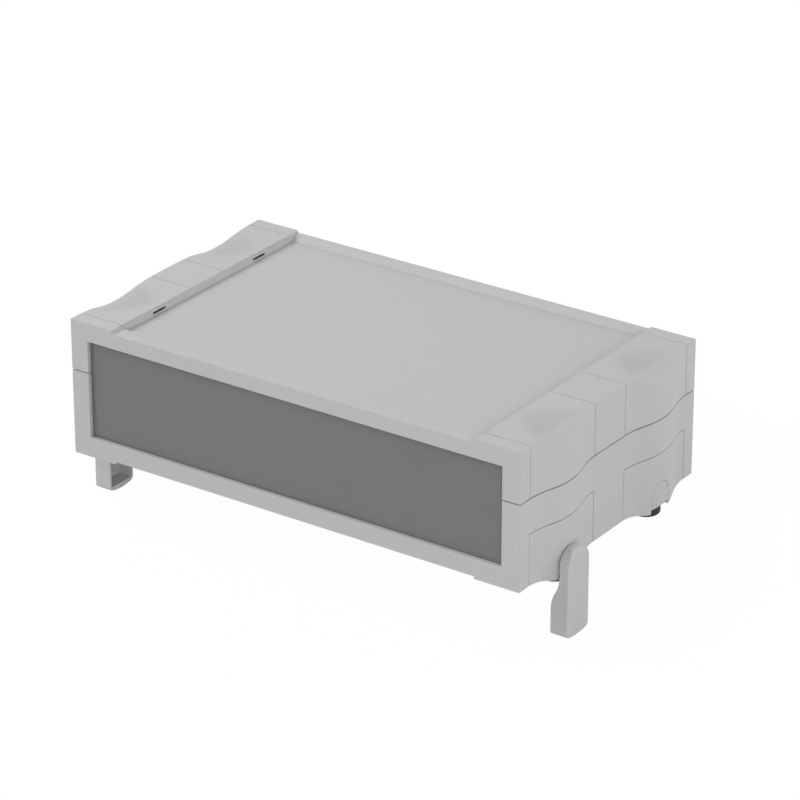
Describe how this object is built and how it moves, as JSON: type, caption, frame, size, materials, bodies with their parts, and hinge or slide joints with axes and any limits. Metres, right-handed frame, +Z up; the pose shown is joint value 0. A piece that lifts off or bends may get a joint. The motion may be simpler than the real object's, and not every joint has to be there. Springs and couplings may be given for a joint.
{
  "type": "desktop enclosure",
  "caption": "Desktop instrument enclosure with waved sides, scooped corner caps, recessed front and rear panels, rubber pads below and tilt legs that swing out at the front.",
  "frame": {"origin": "centre of the bounding box in plan, on the ground", "axes": "+X to the right seen from the front, +Y to the rear, +Z up"},
  "size_m": [0.2792, 0.166, 0.112],
  "materials": {
    "case_grey": "light grey moulded plastic, finely textured",
    "panel_grey": "mid grey satin coating on a flat panel",
    "rubber_black": "matt black rubber",
    "screw_steel": "plain zinc-plated steel"
  },
  "bodies": {
    "case": {"upper_shell": "case_grey", "lower_shell": "case_grey", "front_panel": "panel_grey", "rear_panel": "panel_grey", "corner_cap_front_left": "case_grey", "corner_cap_front_right": "case_grey", "corner_cap_rear_left": "case_grey", "corner_cap_rear_right": "case_grey", "foot_front_left": "case_grey", "foot_front_right": "case_grey", "foot_rear_left": "case_grey", "foot_rear_right": "case_grey", "insert_front_left": "case_grey", "insert_front_right": "case_grey", "insert_rear_left": "case_grey", "insert_rear_right": "case_grey", "pad_front_left": "rubber_black", "pad_front_right": "rubber_black", "pad_rear_left": "rubber_black", "pad_rear_right": "rubber_black", "housing_screws": "screw_steel", "foot_screws": "screw_steel"},
    "leg_left": {"leg_front_left": "case_grey"},
    "leg_right": {"leg_front_right": "case_grey"}
  },
  "joints": [
    {"name": "leg_left_fold", "type": "hinge", "parent": "case", "child": "leg_left", "pos_m": [-0.119, -0.04726, 0.03926], "axis": [1, 0, 0], "range_deg": [0, 90]},
    {"name": "leg_right_fold", "type": "hinge", "parent": "case", "child": "leg_right", "pos_m": [0.119, -0.04726, 0.03926], "axis": [1, 0, 0], "range_deg": [0, 90]}
  ]
}
